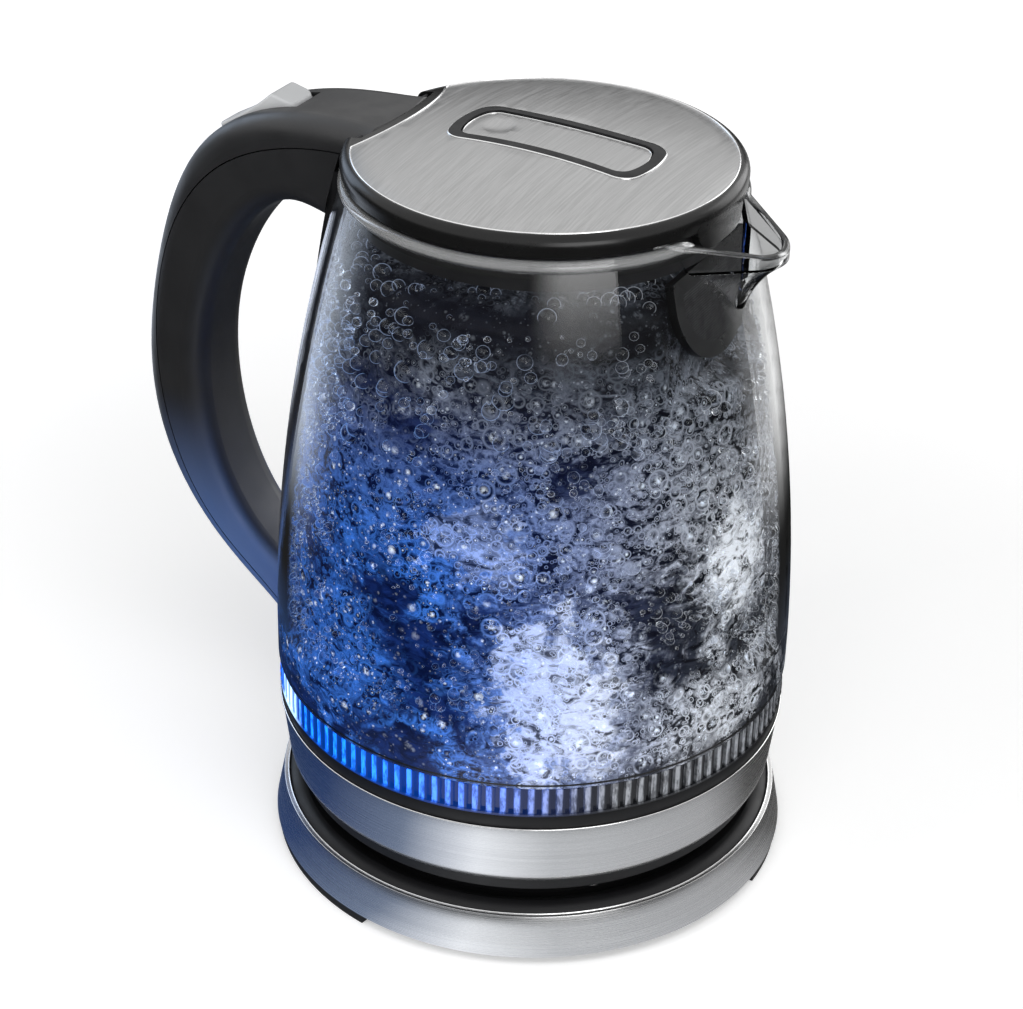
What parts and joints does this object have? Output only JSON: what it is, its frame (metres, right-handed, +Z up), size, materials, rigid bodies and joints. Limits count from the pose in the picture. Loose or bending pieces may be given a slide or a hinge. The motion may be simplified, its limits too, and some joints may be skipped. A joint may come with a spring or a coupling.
{
  "type": "electric kettle",
  "caption": "Cordless electric kettle: clear glass jug with drawn spout and looped handle, hinged steel lid with a press strip, rocker switch and lit ring, standing on a round power base.",
  "frame": {"origin": "on the upright axis of the jug and base, at the surface that the feet stand on", "axes": "+X towards the spout, -X towards the handle, +Z up"},
  "size_m": [0.2139, 0.1616, 0.2312],
  "materials": {
    "band_steel": "brushed round the axis",
    "lid_steel": "straight brushed",
    "plate_steel": "satin",
    "black_plastic": "fine satin",
    "grip_plastic": "soft satin",
    "filter_plastic": "gloss",
    "inner_plastic": "heat-proof moulding",
    "glass": "clear",
    "clear_plastic": "clear ribbed",
    "rubber": "matt",
    "silicone": "matt",
    "silver_plastic": "satin silver",
    "screw_steel": "plated",
    "brass": "bright",
    "aluminium": "cast",
    "board": "coated board",
    "lamp": "lamp lens",
    "mesh": "fine mesh"
  },
  "bodies": {
    "power_base": {"base_trim_ring": "band_steel", "base_top_cover": "black_plastic", "base_floor": "black_plastic", "base_screws": "screw_steel", "base_feet": "rubber", "cord_gland": "rubber", "base_turret": "black_plastic", "base_contacts": "brass"},
    "coupler": {"coupler_contacts": "brass"},
    "kettle": {"steel_band": "band_steel", "chassis": "black_plastic", "bottom_cover": "black_plastic", "kettle_screws": "screw_steel", "light_ring": "clear_plastic", "led_board": "board", "leds": "lamp", "heating_plate": "plate_steel", "jug_seal": "silicone", "heat_spreader": "aluminium", "element_ring": "aluminium", "control_unit": "inner_plastic", "glass_jug": "glass", "handle_cap": "grip_plastic", "handle_shell": "grip_plastic", "upper_mount": "black_plastic", "lower_mount": "black_plastic", "handle_screws": "screw_steel", "switch_pin": "screw_steel", "steam_control": "inner_plastic", "hinge_pin": "screw_steel", "filter_frame": "filter_plastic", "filter_mesh": "mesh"},
    "lid": {"lid_plate": "lid_steel", "lid_rim": "black_plastic", "lid_pan": "black_plastic", "lid_seal": "silicone", "press_tray": "black_plastic", "strip_pin": "screw_steel"},
    "press_strip": {"press_strip": "lid_steel"},
    "switch": {"switch_lever": "silver_plastic"}
  },
  "joints": [
    {"name": "kettle_lift", "type": "slide", "parent": "power_base", "child": "coupler", "axis": [0, 0, 1], "range_m": [0, 0.12]},
    {"name": "kettle_swivel", "type": "hinge", "parent": "coupler", "child": "kettle", "pos_m": [0, 0, 0.014], "axis": [0, 0, 1], "continuous": true},
    {"name": "lid_hinge", "type": "hinge", "parent": "kettle", "child": "lid", "pos_m": [-0.04998, 0, 0.2246], "axis": [0, -1, 0], "range_deg": [0, 72]},
    {"name": "press_strip_rock", "type": "hinge", "parent": "lid", "child": "press_strip", "pos_m": [0.025, 0, 0.22674], "axis": [0, -1, 0], "range_deg": [0, 3.5], "stiffness_Nm_per_rad": 1.5},
    {"name": "switch_rock", "type": "hinge", "parent": "kettle", "child": "switch", "pos_m": [-0.09144, 0, 0.21481], "axis": [0, 1, 0], "range_deg": [0, 12]}
  ]
}
